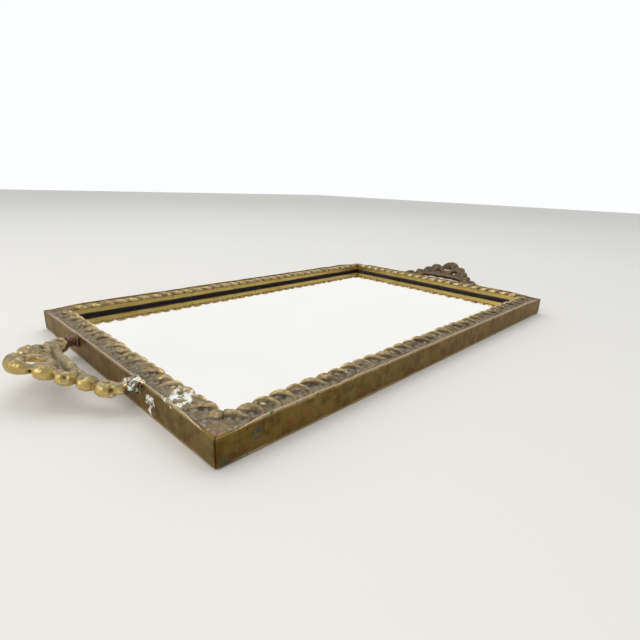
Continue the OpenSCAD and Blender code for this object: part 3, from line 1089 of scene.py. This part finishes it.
def stud_pair(side, seed):
    """Two turned studs with worn rims, let into the rail and the ends of the handle."""
    bm = bmesh.new()
    for place in (-STUD_PLACE, STUD_PLACE):
        shape = Matrix.Translation((place, -STUD_LENGTH / 2, STUD_HEIGHT)) @ Matrix.Rotation(
            math.radians(90), 4, "X"
        )
        bmesh.ops.create_cone(
            bm,
            cap_ends=True,
            segments=36,
            radius1=STUD_RADIUS,
            radius2=STUD_RADIUS,
            depth=STUD_LENGTH + 1.0 * MM,
            matrix=shape,
        )
    rims = [e for e in bm.edges if len(e.link_faces) == 2 and e.calc_face_angle(0) > 1.0]
    bmesh.ops.bevel(
        bm, geom=rims, offset=0.6 * MM, affect="EDGES", segments=3, profile=0.5, material=-1
    )
    sides = [e for e in bm.edges if e.calc_length() > 3 * MM]
    bmesh.ops.subdivide_edges(bm, edges=sides, cuts=7, use_grid_fill=True)
    roughen(bm, 0.22 * MM, 2.4 * MM, seed)
    bmesh.ops.transform(bm, matrix=onto(side), verts=bm.verts)
    finished(bm, f"{side.name}_stud_pair", RED_BRASS, [f"{side.name}_studs"])


def solder_collars(side, seed, spilled):
    """Lumpy rings of solder round the feet of the studs; a spilled one runs over the rail."""
    bm = bmesh.new()
    rng = random.Random(seed)
    for place in (-STUD_PLACE, STUD_PLACE):
        for i in range(14):
            turn = math.radians(i * 360 / 14)
            reach = STUD_RADIUS + 0.2 * MM
            spot = (
                place + reach * math.cos(turn),
                -0.5 * MM,
                min(STUD_HEIGHT + reach * math.sin(turn), WALL_TOP - 1.6 * MM),
            )
            add_ball(bm, spot, rng.uniform(0.9, 1.5) * MM)
        if spilled and place > 0:
            for _ in range(34):
                spot = (
                    place + rng.gauss(1.5, 3.0) * MM,
                    rng.uniform(-5.5, 2.6) * MM,
                    STUD_HEIGHT + rng.uniform(0.5, 4.2) * MM,
                )
                add_ball(bm, spot, rng.uniform(1.0, 2.3) * MM)
    bm = fused(bm, 0.4 * MM)
    roughen(bm, 0.25 * MM, 1.6 * MM, seed)
    bmesh.ops.transform(bm, matrix=onto(side), verts=bm.verts)
    finished(
        bm,
        f"{side.name}_solder_collars",
        SOLDER,
        [f"{side.name}_solder"],
        crests=(8, 0.5 * MM),
    )


stud_pair(LEFT, 21)
stud_pair(RIGHT, 22)
solder_collars(LEFT, 31, True)
solder_collars(RIGHT, 32, False)

# ---------------------------------------------------------------- backing paper

paper_low, paper_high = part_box("backing_paper")
plate_low, plate_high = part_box("front_left_corner_plate")
PAPER_THICK = paper_high.z - paper_low.z
PLATE_REACH = plate_high.x - plate_low.x
PAPER_CELL = 2.6 * MM


def paper_lift(place):
    """How far the glued paper rises: taut over the corner plates, slack and creased between."""
    edge = min(paper_high.x - abs(place.x), paper_high.y - abs(place.y))
    corner = (paper_high.x - abs(place.x)) + (paper_high.y - abs(place.y))
    slack = eased(edge, 1 * MM, 12 * MM) * eased(corner, 0.85 * PLATE_REACH, 1.2 * PLATE_REACH)
    swell = 0.5 + 0.5 * noise.noise(place / (48 * MM))
    crease = (1 - abs(noise.noise(place / (26 * MM) + Vector((5, 2, 0))))) ** 9
    return slack * (0.42 * MM * swell - 0.30 * MM * crease)


def backing_sheet():
    """The sheet glued over the back, wrinkled by damp."""
    bm = bmesh.new()
    bmesh.ops.create_grid(
        bm,
        x_segments=round(2 * paper_high.x / PAPER_CELL),
        y_segments=round(2 * paper_high.y / PAPER_CELL),
        size=1.0,
        matrix=Matrix.Diagonal((paper_high.x, paper_high.y, 1, 1)),
    )
    top = bmesh.ops.extrude_face_region(bm, geom=bm.faces[:])
    raised = [v for v in top["geom"] if isinstance(v, bmesh.types.BMVert)]
    bmesh.ops.translate(bm, verts=raised, vec=(0, 0, PAPER_THICK))
    for v in bm.verts:
        v.co.z += paper_low.z + paper_lift(Vector((v.co.x, v.co.y, 0)))
    bmesh.ops.recalc_face_normals(bm, faces=bm.faces)
    return bm


finished(backing_sheet(), "backing_paper_sheet", BROWN_PAPER, ["backing_paper"])

# ---------------------------------------------------------------- stage, light and camera

floor_mesh = bmesh.new()
bmesh.ops.create_grid(floor_mesh, x_segments=8, y_segments=8, size=4.0)
floor_data = bpy.data.meshes.new("floor")
floor_mesh.to_mesh(floor_data)
floor_mesh.free()
floor = bpy.data.objects.new("floor", floor_data)
bpy.context.scene.collection.objects.link(floor)
floor_look = Look("pale floor")
floor_tone = floor_look.grain(0.4, detail=2.0)
floor_data.materials.append(
    floor_look.finish(
        Base_Color=floor_look.mix(floor_tone, (0.62, 0.61, 0.58), (0.66, 0.65, 0.62)),
        Roughness=0.8,
    )
)

world = bpy.data.worlds.new("soft room")
world.use_nodes = True
bpy.context.scene.world = world
tree = world.node_tree
sky = tree.nodes.new("ShaderNodeTexCoord")
dot = tree.nodes.new("ShaderNodeVectorMath")
dot.operation = "DOT_PRODUCT"
dot.inputs[1].default_value = Vector((0.62, 0.62, 0.48)).normalized()
tree.links.new(sky.outputs["Generated"], dot.inputs[0])
ramp = tree.nodes.new("ShaderNodeMapRange")
ramp.interpolation_type = "SMOOTHSTEP"
for key, value in {"From Min": -0.6, "From Max": 0.5, "To Min": 0.42, "To Max": 1.0}.items():
    ramp.inputs[key].default_value = value
tree.links.new(dot.outputs["Value"], ramp.inputs["Value"])
tree.links.new(ramp.outputs[0], tree.nodes["Background"].inputs["Strength"])
tree.nodes["Background"].inputs["Color"].default_value = (0.98, 0.99, 1.0, 1.0)


def softbox(name, place, size, power, colour):
    lamp = bpy.data.lights.new(name, "AREA")
    lamp.size = size
    lamp.energy = power
    lamp.color = colour
    holder = bpy.data.objects.new(name, lamp)
    holder.location = place
    holder.rotation_mode = "QUATERNION"
    holder.rotation_quaternion = (-Vector(place)).to_track_quat("-Z", "Y")
    bpy.context.scene.collection.objects.link(holder)


softbox("window", (-1.3, -0.1, 0.75), 0.7, 9.0, (1.0, 0.98, 0.94))
softbox("overhead", (0.3, 0.5, 1.6), 1.2, 8.0, (1.0, 1.0, 1.0))

camera = bpy.data.cameras.new("camera")
camera.lens = 24.33
camera.sensor_width = 36.0
camera.clip_start = 0.01
eye = bpy.data.objects.new("camera", camera)
HEADING, PITCH, ROLL = math.radians(46.0), math.radians(17.2), math.radians(2.2)
ahead = Vector(
    (
        math.sin(HEADING) * math.cos(PITCH),
        math.cos(HEADING) * math.cos(PITCH),
        -math.sin(PITCH),
    )
)
level = ahead.cross(UP).normalized()
upright = level.cross(ahead)
right = math.cos(ROLL) * level + math.sin(ROLL) * upright
top = -math.sin(ROLL) * level + math.cos(ROLL) * upright
eye.matrix_world = Matrix(
    (
        (right.x, top.x, -ahead.x, -0.2721),
        (right.y, top.y, -ahead.y, -0.2588),
        (right.z, top.z, -ahead.z, 0.1161),
        (0, 0, 0, 1),
    )
)
bpy.context.scene.collection.objects.link(eye)
bpy.context.scene.camera = eye
bpy.context.scene.view_settings.view_transform = "Standard"
